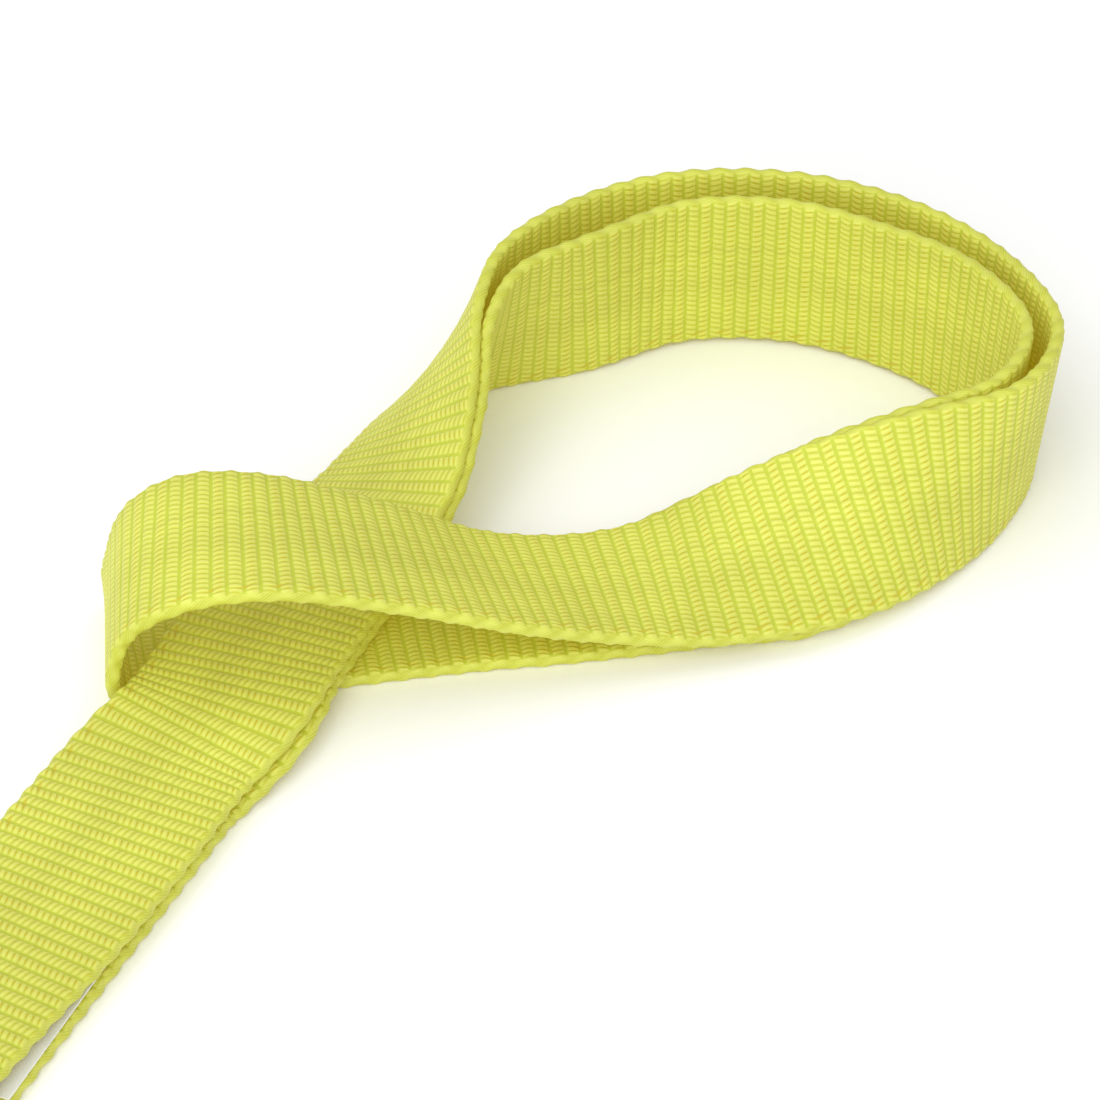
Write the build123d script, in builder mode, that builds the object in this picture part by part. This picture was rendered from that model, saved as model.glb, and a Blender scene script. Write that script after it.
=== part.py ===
"""A short endless webbing sling, lying on a flat surface and choked on itself.

One strip of flat woven webbing is lapped and sewn into a ring.  The ring is pressed flat into
two plies, and the doubled webbing is passed through its own end loop, the choke.  Past the
choke it stands on its edge as an open eye.  The label is sewn into the lap and lies between
the plies of the tail.

The strip is one piece.  It is made here as stretches that meet face to face.  All sizes are
in millimetres, +Z is up and the surface is at z = 0.
"""
import math
import os

from build123d import *

# ---------------------------------------------------------------- driving dimensions
webbing_width = 30.0
webbing_thickness = 2.4
ply_gap = 0.15            # air between plies that lie on each other
lap_length = 90.0         # overlap of the strip's two ends
lap_gap = 0.05            # the two sewn layers
lap_near = -76.0          # where the lap starts along the tail, seen from the choke
lap_rise = 11.0           # how far the far end of the lap is lifted by the far loop
tail_flat_end = 16.0      # where the lower ply leaves the surface
facets = 4                # straight facets between two stations of the strip

label_width = 28.0
label_thickness = 0.3
label_near = 15.0         # the label's folded end
label_leaf_end = -52.0    # the loose end of its upper leaf
label_sewn_length = 10.0
label_skew = 2.4          # the two leaves are folded a little askew

thread = 0.7              # sewing thread, as it lies on the webbing
stitch_length = 4.0
stitch_pitch = 5.2
stitch_rows = 5
stitch_margin = 4.0       # bare webbing round the stitched area

ply = webbing_thickness + ply_gap
crossing_lift = 2 * ply + 0.25
over_label = ply + 2 * label_thickness   # the upper ply rides over the label's two leaves
turn_x = -55.6 - webbing_width / 2       # where the choke turns round the tail's edge
inner_lean = 0.35         # how much more air there is at the inner ply's top than at its foot
surface_gap = 0.05        # the strip clears the surface by this at least

# The object's place: the route below is laid out round the choke, and this shift brings the
# middle of the whole sling's box onto the origin.
shift = Vector(38.24, 89.88, 0)

# ---------------------------------------------------------------- the route
# The tail is straight.  s is the distance along it, from the lap (s < 0) to the choke.
tail_heading = math.radians(65.8)
tail_start = Vector(-69, -73, 0)
tail_along = Vector(math.cos(tail_heading), math.sin(tail_heading), 0)
tail_side = Vector(math.sin(tail_heading), -math.cos(tail_heading), 0)
tail_azimuth = math.degrees(tail_heading) - 90


def on_tail(s, aside=0.0):
    point = tail_start + tail_along * s + tail_side * aside
    return point.X, point.Y


# Stations of the strip: (x, y), the height of its lowest corner, the azimuth and elevation of
# its width (elevation 0 lies flat, 90 stands on edge), and the air to the ply inside it.
outer_stations = [
    (on_tail(-60, -1.2), over_label + 2.0, tail_azimuth, -3, 0),
    (on_tail(-40, -0.7), over_label + 1.1, tail_azimuth, -3.5, 0),
    (on_tail(-20, 0.3), over_label + 0.25, tail_azimuth, -4, 0),
    (on_tail(0, 0.5), over_label + 0.15, -23, -3, 0),
    (on_tail(20, 0.3), over_label + 0.2, -23, -1.5, 0),
    ((-53.4, -44.2), 2 * ply + 0.15, -23, 0, 0),
    ((-47.8, -29), crossing_lift, -23, 0, 0),
    ((-41.2, -13), crossing_lift, -24, 0, 0),
    ((-33, 4), ply + 1.4, -28, 9, 0),
    ((-27.8, 14.5), ply, -30, 20, 0),
    ((-24.7, 23.8), ply, -33, 31, 0),
    ((-21.9, 34), ply * 0.8, -38, 43, 0.3),
    ((-18.1, 44.4), ply * 0.5, -44, 60, 0.8),
    ((-11, 56.1), 0.3, -50, 79, 3.0),
    ((3.2, 68.7), 0.2, 90, 88, 7.8),
    ((22, 78.5), 0.1, 90, 86, 7.2),
    ((45, 78.5), 0.1, 80, 86, 7),
    ((65, 69), 0.1, 60, 87, 6.8),
    ((79, 52), 0.2, 20, 85, 4),
    ((85.5, 30.5), 0.2, 0, 84, 2.5),
    ((77.5, 11.5), 0.2, 0, 88, 1.2),
    ((60, -1.3), 1.2, 128, 65, 0.4),
    ((39, -8.9), 2.6, 110, 33, 0.4),
]
# From here the outer ply lies back, climbs over the tail, and turns down at the choke's end.
choke_stations = [
    ((17, -13), 2 * ply + 0.1, 105, 3.6, 0),
    ((-4.5, -17.5), 8.4, 106, -4, 0),
    ((-25, -22.5), 18.9, 103, 0, 0),
    ((-45, -26.5), 25.1, 100, 4, 0),
    ((turn_x + 12.1, -27.5), 23.9, 98, 6.5, 0),
    ((turn_x + 3.0, -26.8), 18, 96, 5, 0),
    ((turn_x, -26), 10.6, 96, 2, 0),
    ((turn_x - 0.6, -24.8), 4.8, 96, 0.5, 0),
    ((turn_x + 1.7, -23.4), 0.7, 98, 0, 0),
    ((-64, -22.6), 0, 100, 0, 0),
    ((-50, -19.8), 0, 100, 0, 0),
    ((-35, -16.7), 0, 101, 0, 0),
    ((-18, -13.5), 0, 103, 0, 0),
    ((-1, -11.1), 0.1, 104, 0, 0),
    ((15, -8.5), 0.1, 104, 5, 0),
    ((27, -6.9), 0.1, 107, 16, 0),
]

# The lower ply of the tail, from the choke down to the surface.
lower_stations = [
    ((-51.9, -43.6), ply + 0.1, -23, 0, 0),
    (on_tail(24, 1.8), 1.2, tail_azimuth, 0, 0),
]
# The far loop, from the surface round and up to the lap: (s, height of its lowest corner).
far_loop = [(-183, 0.3), (-194, 3), (-199, 8.5), (-193, 13.5), (-181, 15.8)]
far_loop_start = -172.0


# ---------------------------------------------------------------- smooth path through stations
def point_of(station):
    """Centre, width direction and air of one station, as seven numbers."""
    (x, y), lift, azimuth, elevation, air = station
    turn = math.radians(azimuth)
    tilt = math.radians(elevation)
    half_width = webbing_width / 2 * abs(math.sin(tilt))
    height = lift + half_width + webbing_thickness / 2 * math.cos(tilt)
    width = (math.cos(tilt) * math.cos(turn), math.cos(tilt) * math.sin(turn), math.sin(tilt))
    return [x, y, height, *width, air]


def mix(a, b, share):
    return [p + (q - p) * share for p, q in zip(a, b)]


def smooth(points):
    """Centripetal Catmull-Rom curve; the first and the last point only steer it."""
    path = []
    for a, b, c, d in zip(points, points[1:], points[2:], points[3:]):
        ta = 0.0
        tb = ta + math.sqrt(math.dist(a[:3], b[:3]))
        tc = tb + math.sqrt(math.dist(b[:3], c[:3]))
        td = tc + math.sqrt(math.dist(c[:3], d[:3]))
        for k in range(facets):
            t = tb + (tc - tb) * k / facets
            ab = mix(a, b, (t - ta) / (tb - ta))
            bc = mix(b, c, (t - tb) / (tc - tb))
            cd = mix(c, d, (t - tc) / (td - tc))
            abc = mix(ab, bc, (t - ta) / (tc - ta))
            bcd = mix(bc, cd, (t - tb) / (td - tb))
            path.append(mix(abc, bcd, (t - tb) / (tc - tb)))
    path.append(points[-2])
    return path


def heading(path, i):
    before = path[max(i - 1, 0)]
    after = path[min(i + 1, len(path) - 1)]
    return (Vector(*after[:3]) - Vector(*before[:3])).normalized()


def lowest(centre, width, outward):
    """Height of the lowest corner of a section."""
    half = (webbing_width * abs(width.Z) + webbing_thickness * abs(outward.Z)) / 2
    return centre.Z - half


def frame(point, along):
    """Section plane: x lies across the webbing, y through it.  It never sinks into the floor."""
    plane = Plane(origin=Vector(*point[:3]), x_dir=Vector(*point[3:6]), z_dir=along)
    sunk = -lowest(plane.origin, plane.x_dir, plane.y_dir)
    plane.origin += Vector(0, 0, max(sunk, 0)) + shift
    return plane


def inner_point(path, i):
    """The ply inside this one: behind its inner face by a ply and the air, and not sunk."""
    width = Vector(*path[i][3:6]).normalized()
    outward = width.cross(heading(path, i)).normalized()
    centre = Vector(*path[i][:3]) - outward * (ply + path[i][6])
    width = (width - outward * (inner_lean * path[i][6] / webbing_width)).normalized()
    sunk = surface_gap - lowest(centre, width, outward)
    if sunk > 0 and width.Z > 0.3:
        centre += width * (sunk / width.Z)
    return [centre.X, centre.Y, centre.Z, *width, 0]


# ---------------------------------------------------------------- the lap
label_stack = 2 * label_thickness + ply_gap
lap_height = webbing_thickness + label_stack + ply_gap + webbing_thickness / 2
lap_direction = (tail_along * lap_length - Vector(0, 0, lap_rise)).normalized()
lap_up = tail_side.cross(lap_direction)
layer = webbing_thickness + lap_gap


def on_lap(s, layers):
    """Centre of the lap's lower layer at s, or so many layers above it."""
    x, y = on_tail(s)
    rise = lap_rise * (lap_near - s) / lap_length
    centre = Vector(x, y, lap_height + rise) + lap_up * (layer * layers)
    return [centre.X, centre.Y, centre.Z, *tail_side, 0]


lap_far = lap_near - lap_length
lap_lower_ends = [on_lap(lap_far, 0), on_lap(lap_near, 0)]
lap_upper_ends = [on_lap(lap_far, 1), on_lap(lap_near, 1)]

# ---------------------------------------------------------------- the ring of webbing
outer_points = [point_of(station) for station in outer_stations]
choke_points = [point_of(station) for station in choke_stations]
lower_points = [point_of(station) for station in lower_stations]
flat_end = point_of((on_tail(tail_flat_end), 0, tail_azimuth, 0, 0))
flat_far = point_of((on_tail(far_loop_start), 0, tail_azimuth, 0, 0))

outer_path = smooth(lap_upper_ends + outer_points + choke_points[:1])
crossing = 7                       # the outer station from which the inner ply follows
first_inner = len(outer_path) - 1
last_inner = crossing * facets
inner_path = [inner_point(outer_path + choke_points[:1], i)
              for i in range(first_inner, last_inner - 1, -1)]
choke_path = smooth(outer_points[-2:] + choke_points + [inner_path[0], inner_path[facets]])
lower_path = smooth([inner_path[-1 - facets], inner_path[-1]] + lower_points
                    + [flat_end, flat_far])
far_points = [point_of((on_tail(s), lift, tail_azimuth, 0, 0)) for s, lift in far_loop]
far_path = smooth([flat_end, flat_far] + far_points + lap_lower_ends)

ring = outer_path + choke_path[1:] + inner_path[1:] + lower_path[1:]
ring_frames = [frame(point, heading(ring, i)) for i, point in enumerate(ring)]
inner_start = len(outer_path) + len(choke_path) - 2
for k in range(1, len(inner_path) - 1):
    along = heading(outer_path, first_inner - k) * -1
    ring_frames[inner_start + k] = frame(inner_path[k], along)
ring_frames[0] = frame(ring[0], lap_direction)
ring_frames[-1] = frame(ring[-1], tail_along * -1)
far_frames = [frame(point, heading(far_path, i)) for i, point in enumerate(far_path)]
far_frames[0] = frame(far_path[0], tail_along * -1)
far_frames[-1] = frame(far_path[-1], lap_direction)


def after_choke(station):
    """Index in the ring of a choke station."""
    return len(outer_path) - 1 + (station + 1) * facets


lower_start = inner_start + len(inner_path) - 1

stretches = {
    "tail_upper_ply": ring_frames[0:8 * facets + 1],
    "twist_upper_ply": ring_frames[8 * facets:14 * facets + 1],
    "eye_outer_back": ring_frames[14 * facets:18 * facets + 1],
    "eye_outer_end": ring_frames[18 * facets:21 * facets + 1],
    "eye_outer_front": ring_frames[21 * facets:after_choke(1) + 1],
    "choke_over_tail": ring_frames[after_choke(1):after_choke(4) + 1],
    "choke_end_turn": ring_frames[after_choke(4):after_choke(9) + 1],
    "choke_under_tail": ring_frames[after_choke(9):after_choke(13) + 1],
    "eye_inner_front": ring_frames[after_choke(13):inner_start + 2 * facets + 1],
    "eye_inner_end": ring_frames[inner_start + 2 * facets:inner_start + 5 * facets + 1],
    "eye_inner_back": ring_frames[inner_start + 5 * facets:inner_start + 9 * facets + 1],
    "twist_lower_ply": ring_frames[inner_start + 9 * facets:lower_start + 1],
    "tail_lower_ramp": ring_frames[lower_start:],
    "tail_lower_ply": [ring_frames[-1], far_frames[0]],
    "far_loop": far_frames,
    "lap_lower_layer": [far_frames[-1], frame(lap_lower_ends[1], lap_direction)],
    "lap_upper_layer": [frame(lap_upper_ends[0], lap_direction), ring_frames[0]],
}

os.makedirs("parts", exist_ok=True)
for name, sections in stretches.items():
    with BuildPart() as stretch:
        for section in sections:
            with BuildSketch(section):
                Rectangle(webbing_width, webbing_thickness)
        loft(ruled=True)
    stretch.part.label = name
    export_step(stretch.part, f"parts/{name}.step")

# ---------------------------------------------------------------- the label
leaf_low = webbing_thickness + (ply_gap + label_thickness) / 2
leaf_high = leaf_low + label_thickness + ply_gap / 3
tab_drop = (webbing_thickness + label_thickness + thread) / 2 + lap_gap


def label_section(s, height, aside):
    x, y = on_tail(s, aside)
    return Plane(origin=Vector(x, y, height) + shift, x_dir=tail_side, z_dir=tail_along)


def under_lap(s):
    return on_lap(s, 0)[2] - tab_drop


aside_low = -label_skew / 2
aside_high = label_skew / 2
tab_end = lap_near - label_sewn_length
with BuildPart() as label:
    for s, height in ((tab_end, under_lap(tab_end)), (lap_near, under_lap(lap_near)),
                      (lap_near + 12, leaf_low), (label_near, leaf_low)):
        with BuildSketch(label_section(s, height, aside_low)):
            Rectangle(label_width, label_thickness)
    loft(ruled=True)
    for s, aside in ((label_near, aside_low), (label_leaf_end, aside_high)):
        with BuildSketch(label_section(s, leaf_high, aside)):
            Rectangle(label_width, label_thickness)
    loft(ruled=True)
    fold_start = label_near - label_thickness
    with BuildSketch(label_section(fold_start, (leaf_low + leaf_high) / 2, aside_low)):
        Rectangle(label_width, leaf_high - leaf_low + label_thickness)
    extrude(amount=label_thickness)
label.part.label = "label"
export_step(label.part, "parts/label.step")

# ---------------------------------------------------------------- the sewing
lap_middle = (Vector(*on_lap((lap_near + lap_far) / 2, 0.5)[:3])) + shift
stack_half = layer / 2 + webbing_thickness / 2
stitches_along = int((lap_length - 2 * stitch_margin) / stitch_pitch)
row_spacing = (webbing_width - 2 * stitch_margin) / (stitch_rows - 1)
lap_top = Plane(origin=lap_middle + lap_up * stack_half, x_dir=lap_direction, z_dir=lap_up)
lap_bottom = Plane(origin=lap_middle - lap_up * stack_half, x_dir=lap_direction,
                   z_dir=lap_up * -1)
for name, face in (("lap_stitching_top", lap_top), ("lap_stitching_bottom", lap_bottom)):
    with BuildPart() as stitching:
        with BuildSketch(face):
            with GridLocations(stitch_pitch, row_spacing, stitches_along, stitch_rows):
                Rectangle(stitch_length, thread)
        extrude(amount=thread / 2)
    stitching.part.label = name
    export_step(stitching.part, f"parts/{name}.step")
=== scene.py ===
"""A short round sling of flat woven webbing, choked through its own end loop.

Run as a script, it builds the strip of webbing, the label and the lap's sewing around the
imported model, and sets up the floor, the lights and the camera.
"""
import math

import bpy
import numpy as np
from bpy.props import (FloatProperty, FloatVectorProperty, IntProperty, PointerProperty)
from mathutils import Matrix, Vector


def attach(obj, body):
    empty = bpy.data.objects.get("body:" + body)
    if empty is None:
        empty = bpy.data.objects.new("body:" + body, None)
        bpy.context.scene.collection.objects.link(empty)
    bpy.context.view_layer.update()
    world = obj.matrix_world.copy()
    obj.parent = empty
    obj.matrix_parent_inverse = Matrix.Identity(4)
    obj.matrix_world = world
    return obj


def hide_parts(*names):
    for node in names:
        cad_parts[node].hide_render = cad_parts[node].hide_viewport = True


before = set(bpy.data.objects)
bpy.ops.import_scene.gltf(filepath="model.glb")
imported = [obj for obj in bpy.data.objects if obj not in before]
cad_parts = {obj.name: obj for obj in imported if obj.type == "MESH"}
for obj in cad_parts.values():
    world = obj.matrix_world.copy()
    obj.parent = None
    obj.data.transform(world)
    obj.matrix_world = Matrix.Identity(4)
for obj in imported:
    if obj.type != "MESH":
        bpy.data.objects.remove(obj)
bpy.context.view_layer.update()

bl_info = {
    "name": "Webbing Round Sling",
    "version": (1, 0, 0),
    "blender": (4, 5, 0),
    "location": "View3D > Sidebar > Sling",
    "description": "Builds a choked round sling of flat webbing, its label and its sewing",
    "category": "Object",
}

MM = 0.001
WEBBING_NODES = [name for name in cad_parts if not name.startswith(("label", "lap_stitch"))]


# ---------------------------------------------------------------- sizes, in millimetres
PLY_GAP = 0.15            # air between plies that lie on each other
LAP_LENGTH = 90.0         # overlap of the strip's two ends
LAP_GAP = 0.05            # between the lap's two sewn layers
LAP_NEAR = -76.0          # where the lap starts along the tail, seen from the choke
LAP_RISE = 11.0           # how far the lap's far end is lifted by the far loop
TAIL_FLAT_END = 16.0      # where the tail's lower ply leaves the floor
FAR_LOOP_START = -172.0
LABEL_NEAR = 15.0         # the label's folded end
LABEL_LEAF_END = -52.0    # the loose end of its upper leaf
LABEL_SEWN = 10.0         # how much of it lies under the lap
LABEL_LEAVES = 0.6        # what its two leaves lift the tail's upper ply by
LABEL_SKEW = 2.4          # the two leaves are folded a little askew
LABEL_RAMP = 12.0         # how far it takes to come down from the lap to the tail
LABEL_FOLD_STEPS = 7
LABEL_SECTIONS = 90
STITCH_MARGIN = 4.0       # bare webbing round the stitched area
STITCH_SINK = 0.1         # how deep a stitch lies in the webbing
STITCH_END_SINK = 0.25    # how much deeper its ends lie
INNER_LEAN = 0.35         # how much more air there is at the inner ply's top than at its foot
SURFACE_GAP = 0.05        # a ply on its edge clears the floor by this at least
ON_EDGE = 0.3             # a ply stands on its edge when its width rises by more than this
SOFTEN = 2.2              # spread of the kernel that softens the route's turns
SUBSTEPS = 24             # points of the curve between two stations

# The route is laid out round the choke. This shift brings the middle of the sling's box onto
# the origin.
SHIFT = np.array([38.24, 89.88, 0.0])

# The tail is straight. s is the distance along it, from the lap (s < 0) to the choke.
TAIL_HEADING = math.radians(65.8)
TAIL_START = np.array([-69.0, -73.0, 0.0])
TAIL_ALONG = np.array([math.cos(TAIL_HEADING), math.sin(TAIL_HEADING), 0.0])
TAIL_SIDE = np.array([math.sin(TAIL_HEADING), -math.cos(TAIL_HEADING), 0.0])
TAIL_AZIMUTH = math.degrees(TAIL_HEADING) - 90


def on_tail(s, aside=0.0):
    """The place at s along the tail and so far to its right."""
    point = TAIL_START + TAIL_ALONG * s + TAIL_SIDE * aside
    return point[0], point[1]


# A station is (x, y), the height of the lowest corner, the azimuth and the elevation of the
# strip's width in degrees, and the air between the outer and the inner ply.
INNER_PLY_END = 7         # the inner ply follows the outer one back to this stretch of it


def outer_stations(ply):
    """The tail's upper ply and the eye's outer ply, from the lap to the choke."""
    crossing_lift = 2 * ply + 0.25
    over_label = ply + LABEL_LEAVES
    return [
        (on_tail(-60, -1.2), over_label + 2.0, TAIL_AZIMUTH, -3, 0),
        (on_tail(-40, -0.7), over_label + 1.1, TAIL_AZIMUTH, -3.5, 0),
        (on_tail(-20, 0.3), over_label + 0.25, TAIL_AZIMUTH, -4, 0),
        (on_tail(0, 0.5), over_label + 0.15, -23, -3, 0),
        (on_tail(20, 0.3), over_label + 0.2, -23, -1.5, 0),
        ((-53.4, -44.2), 2 * ply + 0.15, -23, 0, 0),
        ((-47.8, -29), crossing_lift, -23, 0, 0),
        ((-41.2, -13), crossing_lift, -24, 0, 0),
        ((-33, 4), ply + 1.4, -28, 9, 0),
        ((-27.8, 14.5), ply, -30, 20, 0),
        ((-24.7, 23.8), ply, -33, 31, 0),
        ((-21.9, 34), ply * 0.8, -38, 43, 0.3),
        ((-18.1, 44.4), ply * 0.5, -44, 60, 0.8),
        ((-11, 56.1), 0.3, -50, 79, 3.0),
        ((3.2, 68.7), 0.2, 90, 88, 7.8),
        ((22, 78.5), 0.1, 90, 86, 7.2),
        ((45, 78.5), 0.1, 80, 86, 7),
        ((65, 69), 0.1, 60, 87, 6.8),
        ((79, 52), 0.2, 20, 85, 4),
        ((85.5, 30.5), 0.2, 0, 84, 2.5),
        ((77.5, 11.5), 0.2, 0, 88, 1.2),
        ((60, -1.3), 1.2, 128, 65, 0.4),
        ((39, -8.9), 2.6, 110, 33, 0.4),
    ]


def choke_stations(ply):
    """Over the tail, round its edge and back under it to the eye's inner ply."""
    return [
        ((17, -13), 2 * ply + 0.1, 105, 3.6, 0),
        ((-4.5, -17.5), 8.4, 106, -4, 0),
        ((-25, -22.5), 18.9, 103, 0, 0),
        ((-45, -26.5), 25.1, 100, 4, 0),
        ((-58.5, -27.5), 23.9, 98, 6.5, 0),
        ((-67.6, -26.8), 18, 96, 5, 0),
        ((-70.6, -26), 10.6, 96, 2, 0),
        ((-71.2, -24.8), 4.8, 96, 0.5, 0),
        ((-68.9, -23.4), 0.7, 98, 0, 0),
        ((-64, -22.6), 0, 100, 0, 0),
        ((-50, -19.8), 0, 100, 0, 0),
        ((-35, -16.7), 0, 101, 0, 0),
        ((-18, -13.5), 0, 103, 0, 0),
        ((-1, -11.1), 0.1, 104, 0, 0),
        ((15, -8.5), 0.1, 104, 5, 0),
        ((27, -6.9), 0.1, 107, 16, 0),
    ]


def lower_stations(ply):
    """The tail's lower ply, from the crossing down to the floor."""
    return [
        ((-51.9, -43.6), ply + 0.1, -23, 0, 0),
        (on_tail(24, 1.8), 1.2, TAIL_AZIMUTH, 0, 0),
    ]


# the far loop's places along the tail, each with its height
FAR_LOOP = [(-183, 0.3), (-194, 3), (-199, 8.5), (-193, 13.5), (-181, 15.8)]


def unit(vectors):
    """The vectors, each of length one."""
    return vectors / np.linalg.norm(vectors, axis=-1, keepdims=True)


def point_of(station, width, thickness):
    """A station as the strip's centre, its width direction and the air inside."""
    (x, y), lift, azimuth, elevation, air = station
    turn, tilt = math.radians(azimuth), math.radians(elevation)
    height = lift + (width * abs(math.sin(tilt)) + thickness * math.cos(tilt)) / 2
    across = (math.cos(tilt) * math.cos(turn), math.cos(tilt) * math.sin(turn), math.sin(tilt))
    return np.array([x, y, height, *across, air])


def smooth(points):
    """Centripetal Catmull-Rom curve; the first and the last point only steer it."""
    path = []
    for a, b, c, d in zip(points, points[1:], points[2:], points[3:]):
        gaps = [math.sqrt(np.linalg.norm(q[:3] - p[:3])) for p, q in ((a, b), (b, c), (c, d))]
        tb = gaps[0]
        tc = tb + gaps[1]
        td = tc + gaps[2]
        for t in np.linspace(tb, tc, SUBSTEPS, endpoint=False):
            ab = a + (b - a) * t / tb
            bc = b + (c - b) * (t - tb) / (tc - tb)
            cd = c + (d - c) * (t - tc) / (td - tc)
            abc = ab + (bc - ab) * t / tc
            bcd = bc + (cd - bc) * (t - tb) / (td - tb)
            path.append(abc + (bcd - abc) * (t - tb) / (tc - tb))
    path.append(points[-2])
    return np.array(path)


def headings(centres):
    """The directions of travel along a line of centres."""
    return unit(np.gradient(centres, axis=0))


def lap_frame():
    """The direction along the lap, and the one square to its face."""
    along = unit(TAIL_ALONG * LAP_LENGTH - np.array([0, 0, LAP_RISE]))
    return along, np.cross(TAIL_SIDE, along)


def on_lap(s, layers, sizes):
    """Centre of the lap's lower layer at s, or so many layers above it."""
    thickness = sizes.webbing_thickness / MM
    label = sizes.label_thickness / MM
    lap_height = thickness * 1.5 + 2 * label + 2 * PLY_GAP
    rise = LAP_RISE * (LAP_NEAR - s) / LAP_LENGTH
    centre = np.array([*on_tail(s), lap_height + rise])
    centre = centre + lap_frame()[1] * (thickness + LAP_GAP) * layers
    return np.array([*centre, *TAIL_SIDE, 0.0])


def strip_route(sizes):
    """The whole strip's middle line and width directions, from one cut end to the other."""
    width, thickness = sizes.webbing_width / MM, sizes.webbing_thickness / MM
    ply = thickness + PLY_GAP
    lap_far = LAP_NEAR - LAP_LENGTH
    outer = [point_of(s, width, thickness) for s in outer_stations(ply)]
    choke = [point_of(s, width, thickness) for s in choke_stations(ply)]
    lower = [point_of(s, width, thickness) for s in lower_stations(ply)]
    flat = [point_of((on_tail(s), 0, TAIL_AZIMUTH, 0, 0), width, thickness)
            for s in (TAIL_FLAT_END, FAR_LOOP_START)]
    far = [point_of((on_tail(s), lift, TAIL_AZIMUTH, 0, 0), width, thickness)
           for s, lift in FAR_LOOP]
    lap_upper = [on_lap(lap_far, 1, sizes), on_lap(LAP_NEAR, 1, sizes)]
    lap_lower = [on_lap(lap_far, 0, sizes), on_lap(LAP_NEAR, 0, sizes)]

    outer_path = smooth(lap_upper + outer + choke[:1])
    guide = np.vstack([outer_path, choke[0]])
    along = headings(guide[:, :3])
    across = unit(guide[:, 3:6])
    outward = unit(np.cross(across, along))
    inner_path = []
    for i in range(len(outer_path) - 1, INNER_PLY_END * SUBSTEPS - 1, -1):
        centre = guide[i, :3] - outward[i] * (ply + guide[i, 6])
        leaning = across[i] - outward[i] * INNER_LEAN * guide[i, 6] / width
        leaning = leaning / np.linalg.norm(leaning)
        low = centre[2] - (width * abs(leaning[2]) + thickness * abs(outward[i, 2])) / 2
        if low < SURFACE_GAP and leaning[2] > ON_EDGE:
            centre = centre + leaning * (SURFACE_GAP - low) / leaning[2]
        inner_path.append([*centre, *leaning, 0.0])
    inner_path = np.array(inner_path)
    choke_path = smooth(outer[-2:] + choke + [inner_path[0], inner_path[SUBSTEPS]])
    lower_path = smooth([inner_path[-1 - SUBSTEPS], inner_path[-1]] + lower + flat)
    far_path = smooth(flat + far + lap_lower)
    route = np.vstack([lap_upper[:1], outer_path, choke_path[1:], inner_path[1:],
                       lower_path[1:], far_path, lap_lower[1:]])
    return route


def spaced(route, step, soften, width, thickness):
    """The route at even steps, softened and kept off the floor: its centres, width and face
    directions, and the distance of each along the strip."""
    line, across = route[:, :3], route[:, 3:6]
    lengths = np.concatenate([[0], np.cumsum(np.linalg.norm(np.diff(line, axis=0), axis=1))])
    count = int(round(lengths[-1] / step)) + 1
    at = np.linspace(0, lengths[-1], count)
    both = np.column_stack([np.interp(at, lengths, column)
                            for column in np.column_stack([line, across]).T])
    # the kernel is cut off at four times its spread
    reach = int(4 * soften / step)
    kernel = np.exp(-0.5 * (np.arange(-reach, reach + 1) * step / soften) ** 2)
    kernel /= kernel.sum()
    head = 2 * both[0] - both[reach:0:-1]
    tail = 2 * both[-1] - both[-2:-reach - 2:-1]
    padded = np.vstack([head, both, tail])
    both = np.column_stack([np.convolve(column, kernel, "valid") for column in padded.T])
    line = both[:, :3]
    along = headings(line)
    across = both[:, 3:6]
    across = unit(across - along * np.sum(across * along, axis=1, keepdims=True))
    normal = unit(np.cross(across, along))
    low = line[:, 2] - (width * abs(across[:, 2]) + thickness * abs(normal[:, 2])) / 2
    line[:, 2] += np.maximum(-low, 0)
    return line, across, normal, at


# ---------------------------------------------------------------- tapes from sections
def face_outwards(piece):
    """Turn every face of a closed piece outwards."""
    bpy.ops.object.select_all(action="DESELECT")
    piece.select_set(True)
    bpy.context.view_layer.objects.active = piece
    bpy.ops.object.mode_set(mode="EDIT")
    bpy.ops.mesh.select_all(action="SELECT")
    bpy.ops.mesh.normals_make_consistent(inside=False)
    bpy.ops.object.mode_set(mode="OBJECT")


def tape(name, line, across, normal, section, coordinates, turns):
    """A closed tape: section[i] holds (across, normal) points, in order, of ring i.

    coordinates are the same points unrolled, for the weave; turns says how far each point
    lies round the edge, from 1 on the upper face to -1 on the lower.
    """
    rings, points = section.shape[:2]
    corners = (line[:, None] + across[:, None] * section[..., :1]
               + normal[:, None] * section[..., 1:])
    corners = (corners + SHIFT).reshape(-1, 3) * MM
    i, j = np.meshgrid(np.arange(rings - 1), np.arange(points), indexing="ij")
    k = (j + 1) % points
    quads = np.stack([i * points + j, i * points + k, (i + 1) * points + k,
                      (i + 1) * points + j], axis=-1).reshape(-1, 4)
    start = list(range(points - 1, -1, -1))
    end = [(rings - 1) * points + p for p in range(points)]
    mesh = bpy.data.meshes.new(name)
    mesh.from_pydata(corners.tolist(), [], quads.tolist() + [start, end])
    mesh.update()
    piece = bpy.data.objects.new(name, mesh)
    bpy.context.scene.collection.objects.link(piece)
    pattern = mesh.uv_layers.new(name="weave")
    corner_points = np.empty(len(mesh.loops), dtype=np.int32)
    mesh.loops.foreach_get("vertex_index", corner_points)
    pattern.data.foreach_set("uv", coordinates.reshape(-1, 2)[corner_points].ravel())
    turn = mesh.attributes.new("edge_turn", "FLOAT", "POINT")
    turn.data.foreach_set("value", turns.ravel())
    mesh.polygons.foreach_set("use_smooth", [True] * len(mesh.polygons))
    face_outwards(piece)
    return piece


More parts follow.
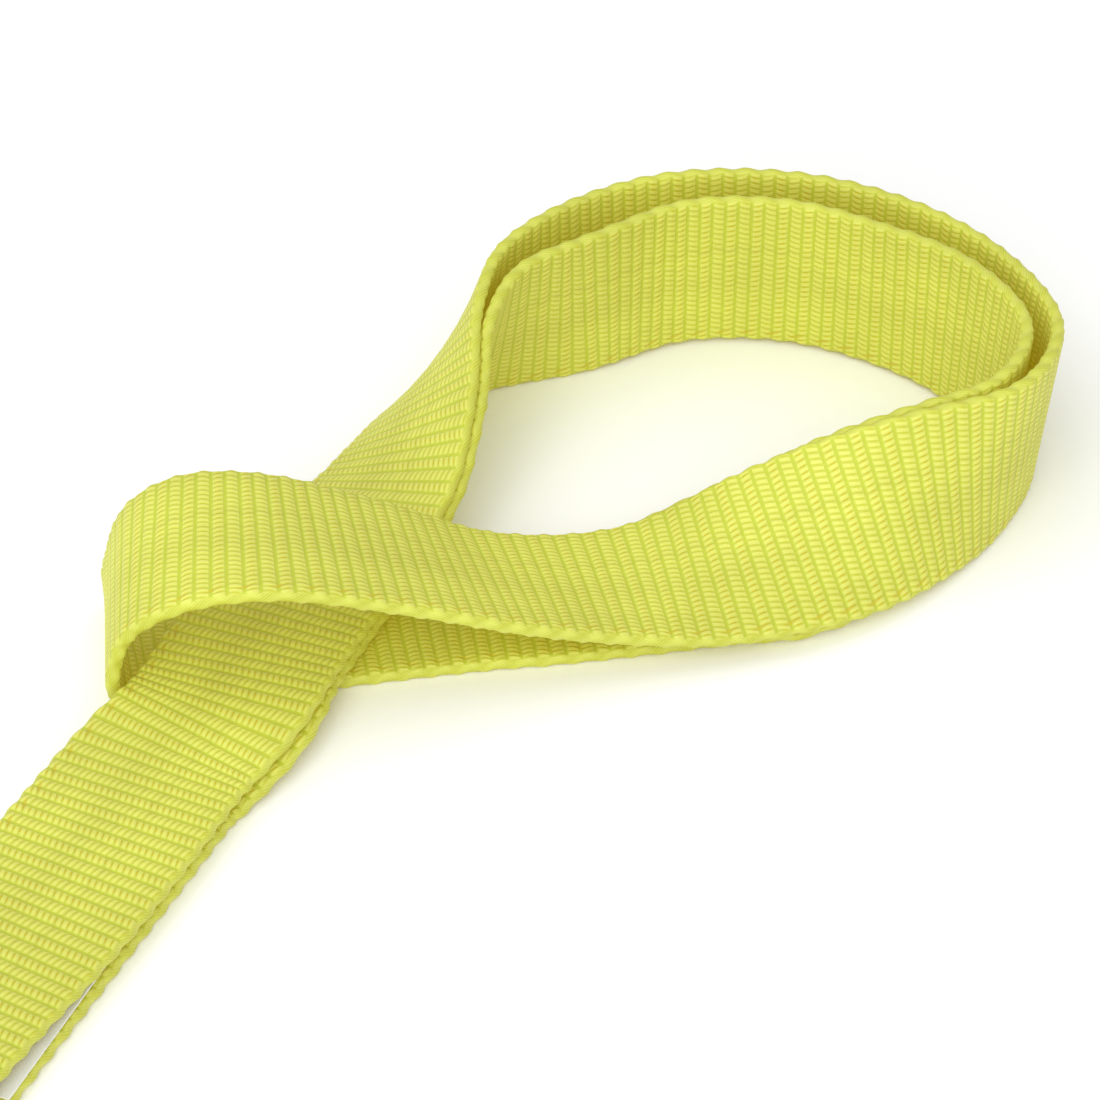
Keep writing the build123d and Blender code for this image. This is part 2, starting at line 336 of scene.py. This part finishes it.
DRAWN_WIDTH = 30.0        # the width of webbing for which the places across it are given
FACE_COLUMNS = (14.3, 12.4, 5, -5, -12.4, -14.3)
EDGE_ANGLES = (65, 32, 0, -32, -65)
EDGE_STRETCH = 1.3        # width of pattern that goes round each side of the selvedge
EDGE_LAG = 0.30           # how far the selvedge's loops slant, in loops
EDGE_BULGE = 0.3          # how far the loops stand out past the nominal width
EDGE_SQUARENESS = 0.8     # under 1, the selvedge is fuller than an ellipse
SEAL_LENGTH = 2.0         # the cut ends are melted thin over this length
SEAL_SHARE = 0.55         # what is left there of the thickness


def webbing_sections(at, sizes):
    """Sections of the strip: ribs on both faces, looped selvedges, both ends sealed thinner."""
    width, thickness = sizes.webbing_width / MM, sizes.webbing_thickness / MM
    rib, depth = sizes.rib_pitch / MM, sizes.rib_depth / MM
    loop = sizes.selvedge_depth / MM
    ribs = at / rib
    crest = 0.5 - 0.5 * np.cos(2 * math.pi * ribs)
    half = thickness / 2 - depth * (1 - crest)
    columns = np.array(FACE_COLUMNS) * width / DRAWN_WIDTH
    edge_width = width / 2 - columns[0]
    sections, coordinates, turns = [], [], []

    def add(across, normal, u, turn):
        """One point of every section: its place, its place in the pattern and its turn."""
        sections.append(np.column_stack([across, normal]))
        coordinates.append(np.column_stack([np.full(len(at), u), at]) * MM)
        turns.append(np.full(len(at), turn))

    def edge(side, angles):
        """One selvedge: a loop swells for every second rib."""
        for angle in angles:
            phase = ribs / 2 + EDGE_LAG * angle / 90 * side
            swell = 0.5 - 0.5 * np.cos(2 * math.pi * phase)
            reach = edge_width + EDGE_BULGE - loop * (1 - swell)
            a = math.radians(angle)
            across = side * (columns[0] + reach * math.cos(a) ** EDGE_SQUARENESS)
            tall = half * (0.9 + 0.1 * swell) * math.sin(a)
            pattern = side * (columns[0] + EDGE_STRETCH * (1 - abs(angle) / 90))
            add(across, tall, pattern, angle / 90)

    for u in columns[::-1]:
        add(np.full(len(at), u), half, u, 1.0)
    edge(1, EDGE_ANGLES)
    for u in columns:
        add(np.full(len(at), u), -half, u, -1.0)
    edge(-1, EDGE_ANGLES[::-1])
    section = np.stack(sections, axis=1)
    to_end = np.minimum(at, at[-1] - at)
    opened = np.sqrt(np.clip(to_end / SEAL_LENGTH, 0, 1))
    section[..., 1] *= (SEAL_SHARE + (1 - SEAL_SHARE) * opened)[:, None]
    return section, np.stack(coordinates, axis=1), np.stack(turns, axis=1)


# ---------------------------------------------------------------- materials
class Nodes:
    """Short names for the nodes of one material."""

    def __init__(self, name):
        self.material = bpy.data.materials.new(name)
        self.material.use_nodes = True
        self.tree = self.material.node_tree
        self.shader = self.tree.nodes["Principled BSDF"]

    def put(self, socket, value):
        """Link an output to the socket, or set it to a constant."""
        if isinstance(value, bpy.types.NodeSocket):
            self.tree.links.new(value, socket)
        else:
            socket.default_value = value

    def math(self, operation, *values):
        """The output of one Math node."""
        node = self.tree.nodes.new("ShaderNodeMath")
        node.operation = operation
        for socket, value in zip(node.inputs, values):
            self.put(socket, value)
        return node.outputs[0]

    def ramp(self, value, low, high, to_low=0.0, to_high=1.0):
        """A smooth step from to_low, at low, to to_high, at high."""
        node = self.tree.nodes.new("ShaderNodeMapRange")
        node.interpolation_type = "SMOOTHSTEP"
        for name, given in (("Value", value), ("From Min", low), ("From Max", high),
                            ("To Min", to_low), ("To Max", to_high)):
            self.put(node.inputs[name], given)
        return node.outputs["Result"]

    def mix(self, share, a, b, blend="MIX"):
        """Colour a with so much of colour b."""
        node = self.tree.nodes.new("ShaderNodeMix")
        node.data_type = "RGBA"
        node.blend_type = blend
        self.put(node.inputs["Factor"], share)
        self.put(node.inputs["A"], a)
        self.put(node.inputs["B"], b)
        return node.outputs["Result"]

    def wave(self, turns):
        """Runs from 1 at whole turns to 0 half-way between them."""
        cosine = self.math("COSINE", self.math("MULTIPLY", turns, math.tau))
        return self.math("MULTIPLY_ADD", cosine, 0.5, 0.5)

    def noise(self, where, scale, detail=2.0):
        """Soft noise, from 0 to 1."""
        node = self.tree.nodes.new("ShaderNodeTexNoise")
        node.inputs["Scale"].default_value = scale
        node.inputs["Detail"].default_value = detail
        self.put(node.inputs["Vector"], where)
        return node.outputs["Fac"]

    def grey(self, value):
        """A grey of the given brightness."""
        node = self.tree.nodes.new("ShaderNodeCombineColor")
        for socket in node.inputs[:3]:
            self.put(socket, value)
        return node.outputs[0]

    def place(self):
        """Object coordinates, in metres."""
        return self.tree.nodes.new("ShaderNodeTexCoord").outputs["Object"]

    def bump(self, height, distance, strength=1.0):
        """Raise the surface where height is 1, by the distance in metres."""
        node = self.tree.nodes.new("ShaderNodeBump")
        node.inputs["Strength"].default_value = strength
        node.inputs["Distance"].default_value = distance
        self.put(node.inputs["Height"], height)
        self.put(self.shader.inputs["Normal"], node.outputs["Normal"])


def colour(values):
    """A setting's colour, opaque."""
    return (*values, 1.0)


YARN_SLANT = 0.45         # how far a float leans over its rib, in yarns, either way in turn
CHAIN_ROW = 13.3          # where the chain of loops lies across the strip, in millimetres
CHAIN_HALF = 0.55         # half its width, in millimetres
EDGE_START = 14.4         # the selvedge's own pattern fades in from here, in millimetres
EDGE_FULL = 14.85         # to here
EDGE_STRANDS = 6.0        # strands in one loop of the selvedge
WEAVE_BUMP = 0.00012      # height of the floats, in metres
PATCH_SCALE = 38.0        # noise scale of the dye's lighter and darker patches
FIBRE_SCALE = 2600.0      # noise scale of single fibres


def webbing_material(sizes):
    """Warp-faced webbing: rows of short slanted floats over ribs, with looped selvedges."""
    n = Nodes("lime_webbing")
    uv = n.tree.nodes.new("ShaderNodeUVMap")
    uv.uv_map = "weave"
    split = n.tree.nodes.new("ShaderNodeSeparateXYZ")
    n.put(split.inputs[0], uv.outputs[0])
    across, along = split.outputs[0], split.outputs[1]
    turn = n.tree.nodes.new("ShaderNodeAttribute")
    turn.attribute_name = "edge_turn"
    turn = turn.outputs["Fac"]

    # the floats: every second row is offset by half a yarn and slants the other way
    yarns = n.math("DIVIDE", across, sizes.yarn_pitch)
    ribs = n.math("DIVIDE", along, sizes.rib_pitch)
    in_rib = n.math("FRACT", ribs)
    other = n.math("FLOORED_MODULO", n.math("FLOOR", ribs), 2.0)
    centred = n.math("SUBTRACT", in_rib, 0.5)
    lean = n.math("MULTIPLY_ADD", other, 2 * YARN_SLANT, -YARN_SLANT)
    shifted = n.math("MULTIPLY_ADD", centred, lean, n.math("MULTIPLY_ADD", other, 0.5, yarns))
    yarn = n.wave(shifted)
    crest = n.math("SUBTRACT", 1.0, n.wave(in_rib))
    on_rib = n.ramp(crest, 0.0, n.math("MULTIPLY_ADD", other, 0.14, 0.18))
    float_mask = n.math("MULTIPLY", n.ramp(yarn, 0.0, 0.6, 0.2, 1.0), on_rib)
    # painted shade: the gaps deep between the floats on the ribs take the ochre gap shade colour
    gap_shade_mask = n.math("MULTIPLY", n.ramp(yarn, 0.22, 0.0), n.ramp(crest, 0.45, 0.9))
    gap_shade_mask = n.math("MULTIPLY", gap_shade_mask, n.math("MULTIPLY_ADD", other, 0.45, 0.4))

    # a fine chain of loops just inside one selvedge, a stitch for every second rib
    scale = sizes.webbing_width / (DRAWN_WIDTH * MM)
    chain_place = n.math("MULTIPLY_ADD", across, 1 / MM, CHAIN_ROW * scale)
    chain_row = n.ramp(n.math("ABSOLUTE", chain_place), CHAIN_HALF, 0.25)
    chain_dots = n.wave(n.math("MULTIPLY_ADD", chain_place, 0.35, n.math("MULTIPLY", ribs, 0.5)))
    chain_mask = n.math("MULTIPLY", chain_row, n.ramp(chain_dots, 0.62, 0.95))

    # the selvedge: the ribs turn over the edge as loops of finer strands
    reach = n.math("MULTIPLY", n.math("ABSOLUTE", across), 1 / scale)
    edge = n.ramp(reach, EDGE_START * MM, EDGE_FULL * MM)
    leaning = n.math("MULTIPLY_ADD", turn, 0.5, n.math("MULTIPLY", ribs, 0.5))
    loops = n.wave(leaning)
    strands = n.wave(n.math("MULTIPLY", leaning, EDGE_STRANDS))
    loop_mask = n.math("MULTIPLY_ADD", strands, 0.55, n.math("MULTIPLY", loops, 0.45))

    # colours: lime green in the valleys, darkened there as painted shade between the ribs;
    # yellow on the floats; ochre painted shade deep between the yarns
    body = n.mix(float_mask, colour(sizes.shaded_valley_colour), colour(sizes.float_colour))
    body = n.mix(gap_shade_mask, body, colour(sizes.gap_shade_colour))
    # the chain's loops are half darkened with the painted gap shade
    body = n.mix(n.math("MULTIPLY", chain_mask, 0.5), body, colour(sizes.gap_shade_colour))
    rim = n.mix(n.ramp(loop_mask, 0.0, 1.0, 0.15, 0.85), colour(sizes.shaded_valley_colour),
                colour(sizes.float_colour))
    # painted shade deep between the selvedge's strands
    rim = n.mix(n.ramp(loop_mask, 0.14, 0.02, 0.0, 0.45), rim, colour(sizes.gap_shade_colour))
    cloth = n.mix(edge, body, rim)

    # the dye took a little unevenly, over the strip and from yarn to yarn
    place = n.place()
    tone = n.ramp(n.noise(place, PATCH_SCALE), 0.3, 0.7, 0.93, 1.05)
    single = n.tree.nodes.new("ShaderNodeTexWhiteNoise")
    single.noise_dimensions = "1D"
    n.put(single.inputs["W"], n.math("FLOOR", shifted))
    yarn_tone = n.math("MULTIPLY_ADD", single.outputs["Value"], 0.08, 0.96)
    cloth = n.mix(1.0, cloth, n.grey(n.math("MULTIPLY", tone, yarn_tone)), "MULTIPLY")
    n.put(n.shader.inputs["Base Color"], cloth)

    fibres = n.noise(place, FIBRE_SCALE, 1.0)
    height = n.math("MULTIPLY_ADD", float_mask, 0.7, n.math("MULTIPLY", crest, 0.25))
    height = n.math("MULTIPLY_ADD", chain_mask, -0.3, height)
    height = n.math("MULTIPLY_ADD", fibres, 0.08, height)
    height_edge = n.math("MULTIPLY_ADD", loop_mask, 0.35, 0.3)
    blend = n.math("MULTIPLY_ADD", edge, n.math("SUBTRACT", height_edge, height), height)
    n.bump(blend, WEAVE_BUMP)
    n.put(n.shader.inputs["Roughness"], n.math("MULTIPLY_ADD", float_mask, -0.14, 0.62))
    n.shader.inputs["Specular IOR Level"].default_value = 0.28
    # painted light: the webbing glows a little orange, though it is no lamp, to lift and warm
    # its shaded faces
    n.put(n.shader.inputs["Emission Color"], colour(sizes.shade_lift_glow_colour))
    n.shader.inputs["Emission Strength"].default_value = sizes.shade_lift_glow_strength
    n.shader.inputs["Sheen Weight"].default_value = 0.05
    n.shader.inputs["Sheen Roughness"].default_value = 0.4
    n.shader.inputs["Sheen Tint"].default_value = (0.95, 1.0, 0.75, 1.0)
    return n.material


FINE_TWIST = 900.0        # scale of the label's weave and the thread's twist
LABEL_BUMP = 0.00003      # in metres
THREAD_BUMP = 0.00008


def label_material(sizes):
    """Blank coated label tape with a fine plain weave."""
    n = Nodes("label_tape")
    place = n.place()
    tone = n.ramp(n.noise(place, 90.0), 0.3, 0.7, 0.94, 1.0)
    n.put(n.shader.inputs["Base Color"],
          n.mix(1.0, colour(sizes.label_colour), n.grey(tone), "MULTIPLY"))
    wave = n.tree.nodes.new("ShaderNodeTexWave")
    wave.inputs["Scale"].default_value = FINE_TWIST
    n.put(wave.inputs["Vector"], place)
    n.bump(wave.outputs["Fac"], LABEL_BUMP, 0.6)
    n.shader.inputs["Roughness"].default_value = 0.55
    return n.material


def thread_material(sizes):
    """Twisted sewing thread."""
    n = Nodes("sewing_thread")
    place = n.place()
    wave = n.tree.nodes.new("ShaderNodeTexWave")
    wave.wave_type = "BANDS"
    wave.bands_direction = "DIAGONAL"
    wave.inputs["Scale"].default_value = FINE_TWIST
    n.put(wave.inputs["Vector"], place)
    shade = n.ramp(wave.outputs["Fac"], 0.1, 0.9)
    # painted shade in the grooves of the twist: the thread takes the gap shade colour there
    n.put(n.shader.inputs["Base Color"],
          n.mix(shade, colour(sizes.gap_shade_colour), colour(sizes.float_colour)))
    n.bump(wave.outputs["Fac"], THREAD_BUMP)
    n.shader.inputs["Roughness"].default_value = 0.45
    return n.material


def dress(piece, material, slot, *nodes):
    """Give a piece its material and its body, and hide the imported parts that it stands for."""
    piece.data.materials.clear()
    piece.data.materials.append(material)
    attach(piece, "root")
    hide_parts(*nodes)


# ---------------------------------------------------------------- settings
class SlingSizes(bpy.types.PropertyGroup):
    """Sizes and colours of the sling."""

    webbing_width: FloatProperty(
        name="Webbing width", description="Width of the strip of webbing",
        default=0.030, unit="LENGTH", precision=4)
    webbing_thickness: FloatProperty(
        name="Webbing thickness", description="Thickness of the strip over its ribs",
        default=0.0024, unit="LENGTH", precision=5)
    rib_pitch: FloatProperty(
        name="Rib pitch", description="Distance between two ribs along the strip",
        default=0.00238, unit="LENGTH", precision=5)
    rib_depth: FloatProperty(
        name="Rib depth", description="How far the valleys lie under the ribs",
        default=0.00016, unit="LENGTH", precision=5)
    yarn_pitch: FloatProperty(
        name="Yarn pitch", description="Distance between two warp floats across the strip",
        default=0.00107, unit="LENGTH", precision=5)
    selvedge_depth: FloatProperty(
        name="Selvedge depth", description="How far the loops of the selvedge swell",
        default=0.00042, unit="LENGTH", precision=5)
    rings_per_rib: IntProperty(
        name="Rings per rib", description="Sections of the mesh in one rib",
        default=6, min=3)
    label_width: FloatProperty(
        name="Label width", description="Width of the label tape",
        default=0.028, unit="LENGTH", precision=4)
    label_thickness: FloatProperty(
        name="Label thickness", description="Thickness of one leaf of the label",
        default=0.0003, unit="LENGTH", precision=5)
    stitch_length: FloatProperty(
        name="Stitch length", description="Length of one stitch of the lap",
        default=0.004, unit="LENGTH", precision=4)
    stitch_pitch: FloatProperty(
        name="Stitch pitch", description="Distance between two stitches of a row",
        default=0.0052, unit="LENGTH", precision=4)
    thread: FloatProperty(
        name="Thread", description="Diameter of the sewing thread",
        default=0.0007, unit="LENGTH", precision=5)
    stitch_rows: IntProperty(
        name="Stitch rows", description="Rows of stitches across the lap",
        default=5, min=1)
    float_colour: FloatVectorProperty(
        name="Float colour", description="Colour of the warp floats on the ribs",
        default=(0.55, 0.60, 0.122), subtype="COLOR", min=0, max=1)
    # painted shade: the valleys' lime green, darkened for the shade between the ribs
    shaded_valley_colour: FloatVectorProperty(
        name="Valley colour", description="Colour of the yarn between the ribs",
        default=(0.375, 0.465, 0.044), subtype="COLOR", min=0, max=1)
    # painted shade: the ochre of the shade deep between the yarns
    gap_shade_colour: FloatVectorProperty(
        name="Gap colour", description="Colour deep between the yarns",
        default=(0.44, 0.35, 0.016), subtype="COLOR", min=0, max=1)
    # painted light: this glow lifts and warms the webbing's shaded faces; the webbing is no lamp
    shade_lift_glow_colour: FloatVectorProperty(
        name="Glow colour", description="Colour of the light that the dye gives back",
        default=(1.0, 0.60, 0.0), subtype="COLOR", min=0, max=1)
    shade_lift_glow_strength: FloatProperty(
        name="Glow strength", description="Strength of the light that the dye gives back",
        default=0.12)
    label_colour: FloatVectorProperty(
        name="Label colour", description="Colour of the label tape",
        default=(0.80, 0.80, 0.78), subtype="COLOR", min=0, max=1)


class StageSettings(bpy.types.PropertyGroup):
    """The camera and the light."""

    camera_distance: FloatProperty(
        name="Camera distance", description="From the origin of the sling's route to the camera",
        default=0.6162, unit="LENGTH", precision=4)
    camera_elevation: FloatProperty(
        name="Camera elevation", description="Height of the camera over the floor, as an angle",
        default=math.radians(37.47), subtype="ANGLE")
    lens: FloatProperty(
        name="Lens", description="Focal length of the camera in millimetres",
        default=119.06)
    floor_colour: FloatVectorProperty(
        name="Floor colour", description="Colour of the floor",
        default=(0.97, 0.97, 0.97), subtype="COLOR", min=0, max=1)
    sky_strength: FloatProperty(
        name="Sky strength", description="Strength of the even light all round", default=0.72)
    fill_power: FloatProperty(
        name="Front light", description="Power of the wide lamp in front, in watts",
        default=13.0)
    key_power: FloatProperty(
        name="Key light", description="Power of the large soft lamp in watts", default=3.0)


# ---------------------------------------------------------------- operators
class SLING_OT_webbing(bpy.types.Operator):
    """Build the strip of webbing, from one cut end round the sling to the other"""
    bl_idname = "sling.webbing"
    bl_label = "Webbing strip"

    def execute(self, context):
        sizes = context.scene.sling_sizes
        width, thickness = sizes.webbing_width / MM, sizes.webbing_thickness / MM
        step = sizes.rib_pitch / MM / sizes.rings_per_rib
        line, across, normal, at = spaced(strip_route(sizes), step, SOFTEN, width, thickness)
        section, coordinates, turns = webbing_sections(at, sizes)
        strip = tape("webbing_strip", line, across, normal, section, coordinates, turns)
        dress(strip, webbing_material(sizes), "webbing", *WEBBING_NODES)
        return {"FINISHED"}


class SLING_OT_label(bpy.types.Operator):
    """Build the folded label between the plies of the tail"""
    bl_idname = "sling.label"
    bl_label = "Label"

    def execute(self, context):
        sizes = context.scene.sling_sizes
        thickness, webbing = sizes.label_thickness / MM, sizes.webbing_thickness / MM
        thread = sizes.thread / MM
        low = webbing + (PLY_GAP + thickness) / 2
        high = low + thickness + PLY_GAP / 3
        drop = (webbing + thickness + thread) / 2 + LAP_GAP
        middle = (low + high) / 2
        fold = (high - low) / 2
        fold_start = LABEL_NEAR - 0.5
        tab_end = LAP_NEAR - LABEL_SEWN
        stations = [(tab_end, on_lap(tab_end, 0, sizes)[2] - drop),
                    (LAP_NEAR, on_lap(LAP_NEAR, 0, sizes)[2] - drop),
                    (LAP_NEAR + LABEL_RAMP, low), (fold_start, low)]
        stations += [(fold_start + fold * math.sin(a), middle - fold * math.cos(a))
                     for a in np.linspace(0, math.pi, LABEL_FOLD_STEPS)[1:-1]]
        stations += [(fold_start, high), (LABEL_LEAF_END, high)]
        path = np.array(stations)
        run = np.concatenate([[0], np.cumsum(np.linalg.norm(np.diff(path, axis=0), axis=1))])
        at = np.unique(np.concatenate([run, np.linspace(0, run[-1], LABEL_SECTIONS)]))
        s, z = np.interp(at, run, path[:, 0]), np.interp(at, run, path[:, 1])
        # the lower leaf lies a little to one side, and the upper one drifts to the other
        turned = np.interp(at, [run[-2], run[-1]], [-0.5, 0.5])
        line = (TAIL_START + TAIL_ALONG * s[:, None]
                + TAIL_SIDE * (turned * LABEL_SKEW)[:, None] + np.array([0, 0, 1]) * z[:, None])
        along = unit(np.gradient(TAIL_ALONG * s[:, None] + np.array([0, 0, 1]) * z[:, None],
                                 at, axis=0))
        across = np.tile(TAIL_SIDE, (len(at), 1))
        normal = np.cross(across, along)
        half_width, half = sizes.label_width / MM / 2, thickness / 2
        outline = [(-half_width, half), (half_width, half), (half_width, -half),
                   (-half_width, -half)]
        section = np.tile(np.array(outline), (len(at), 1, 1))
        coordinates = np.stack([section[..., 0], np.tile(at[:, None], (1, 4))], axis=-1) * MM
        label = tape("label_tape", line, across, normal, section, coordinates,
                     np.zeros((len(at), 4)))
        label.data.polygons.foreach_set("use_smooth", [False] * len(label.data.polygons))
        dress(label, label_material(sizes), "label", "label")
        return {"FINISHED"}


class SLING_OT_lap_thread(bpy.types.Operator):
    """Build the rows of stitches on both faces of the lap"""
    bl_idname = "sling.lap_thread"
    bl_label = "Lap stitching"

    def execute(self, context):
        sizes = context.scene.sling_sizes
        direction, up = lap_frame()
        thickness = sizes.webbing_thickness / MM
        lap_far = LAP_NEAR - LAP_LENGTH
        middle = on_lap((LAP_NEAR + lap_far) / 2, 0.5, sizes)[:3]
        outside = thickness + LAP_GAP / 2
        pitch = sizes.stitch_pitch / MM
        count = int((LAP_LENGTH - 2 * STITCH_MARGIN) / pitch)
        gap = (sizes.webbing_width / MM - 2 * STITCH_MARGIN) / (sizes.stitch_rows - 1)
        material = thread_material(sizes)
        for side, name, node in ((1, "lap_thread_top", "lap_stitching_top"),
                                 (-1, "lap_thread_bottom", "lap_stitching_bottom")):
            bpy.ops.object.select_all(action="DESELECT")
            bpy.ops.mesh.primitive_uv_sphere_add(segments=8, ring_count=6, radius=1.0)
            thread = bpy.context.active_object
            thread.name = name
            one = np.array([v.co for v in thread.data.vertices])
            faces = [list(f.vertices) for f in thread.data.polygons]
            # one stitch lies along the lap, round in the middle and sunk at both ends
            lengthwise = one[:, 2:3] * sizes.stitch_length / MM / 2
            cross = one[:, :1] * sizes.thread / MM / 2
            tall = one[:, 1:2] * sizes.thread / MM * 0.5 - STITCH_SINK
            tall = tall - STITCH_END_SINK * one[:, 2:3] ** 2
            stitch = direction * lengthwise + TAIL_SIDE * cross + up * side * tall
            points, polygons = [], []
            for row in range(sizes.stitch_rows):
                for k in range(count):
                    at = (direction * (k - (count - 1) / 2) * pitch
                          + TAIL_SIDE * (row - (sizes.stitch_rows - 1) / 2) * gap)
                    polygons += [[v + len(points) for v in f] for f in faces]
                    points += ((stitch + middle + at + up * side * outside + SHIFT)
                               * MM).tolist()
            mesh = bpy.data.meshes.new(name)
            mesh.from_pydata(points, [], polygons)
            mesh.polygons.foreach_set("use_smooth", [True] * len(mesh.polygons))
            thread.data = mesh
            face_outwards(thread)
            dress(thread, material, "thread", node)
        return {"FINISHED"}


FLOOR_SIZE = 30.0         # all sizes of the stage are in metres
FLOOR_DROP = 0.00005      # the floor lies this much under the sling
LIT_PLACE = (0.03, 0.06, 0.0)
LAMPS = (("key_light", (-0.55, 0.15, 1.1), 1.0),
         ("front_light", (-0.2, -1.0, 0.72), 1.2))
SENSOR_WIDTH = 36.0       # in millimetres
CAMERA_SHIFT = 0.0192     # a share of the picture's width
CLIP_START = 0.01


class SLING_OT_stage(bpy.types.Operator):
    """Set up the pale floor, the soft lights and the camera"""
    bl_idname = "sling.stage"
    bl_label = "Stage"

    def execute(self, context):
        stage = context.scene.sling_stage
        context.scene.view_settings.view_transform = "Standard"
        bpy.ops.object.select_all(action="DESELECT")
        bpy.ops.mesh.primitive_plane_add(size=FLOOR_SIZE, location=(0, 0, -FLOOR_DROP))
        floor = bpy.context.active_object
        floor.name = "floor"
        n = Nodes("pale_floor")
        n.shader.inputs["Base Color"].default_value = colour(stage.floor_colour)
        n.shader.inputs["Roughness"].default_value = 0.9
        n.shader.inputs["Specular IOR Level"].default_value = 0.1
        floor.data.materials.append(n.material)

        world = bpy.data.worlds.new("soft_sky")
        context.scene.world = world
        world.use_nodes = True
        sky = world.node_tree.nodes["Background"]
        sky.inputs[0].default_value = (1, 1, 1, 1)
        sky.inputs[1].default_value = stage.sky_strength

        target = Vector(LIT_PLACE)
        for (name, place, size), power in zip(LAMPS, (stage.key_power, stage.fill_power)):
            lamp = bpy.data.lights.new(name, "AREA")
            lamp.size = size
            lamp.energy = power
            light = bpy.data.objects.new(name, lamp)
            context.scene.collection.objects.link(light)
            light.location = place
            light.rotation_euler = (target - Vector(place)).to_track_quat("-Z", "Y").to_euler()

        camera_data = bpy.data.cameras.new("camera")
        camera = bpy.data.objects.new("camera", camera_data)
        context.scene.collection.objects.link(camera)
        camera_data.lens = stage.lens
        camera_data.sensor_width = SENSOR_WIDTH
        camera_data.shift_y = CAMERA_SHIFT
        camera_data.clip_start = CLIP_START
        back = stage.camera_distance * math.cos(stage.camera_elevation)
        above = stage.camera_distance * math.sin(stage.camera_elevation)
        camera.location = Vector(SHIFT * MM) + Vector((0, -back, above))
        camera.rotation_euler = (math.pi / 2 - stage.camera_elevation, 0, 0)
        context.scene.camera = camera
        return {"FINISHED"}


class SLING_PT_panel(bpy.types.Panel):
    """Lists the sling's pieces and its settings"""
    bl_idname = "SLING_PT_panel"
    bl_label = "Round Sling"
    bl_space_type = "VIEW_3D"
    bl_region_type = "UI"
    bl_category = "Sling"

    def draw(self, context):
        for settings in (context.scene.sling_sizes, context.scene.sling_stage):
            column = self.layout.column()
            for name in settings.__annotations__:
                column.prop(settings, name)
        for operator in OPERATORS:
            self.layout.operator(operator.bl_idname)


OPERATORS = (SLING_OT_webbing, SLING_OT_label, SLING_OT_lap_thread, SLING_OT_stage)
CLASSES = (SlingSizes, StageSettings) + OPERATORS + (SLING_PT_panel,)


def register():
    for item in CLASSES:
        bpy.utils.register_class(item)
    bpy.types.Scene.sling_sizes = PointerProperty(type=SlingSizes)
    bpy.types.Scene.sling_stage = PointerProperty(type=StageSettings)


def unregister():
    del bpy.types.Scene.sling_stage
    del bpy.types.Scene.sling_sizes
    for item in reversed(CLASSES):
        bpy.utils.unregister_class(item)


def main():
    register()
    bpy.ops.sling.stage()
    bpy.ops.sling.webbing()
    bpy.ops.sling.label()
    bpy.ops.sling.lap_thread()


if __name__ == "__main__":
    main()
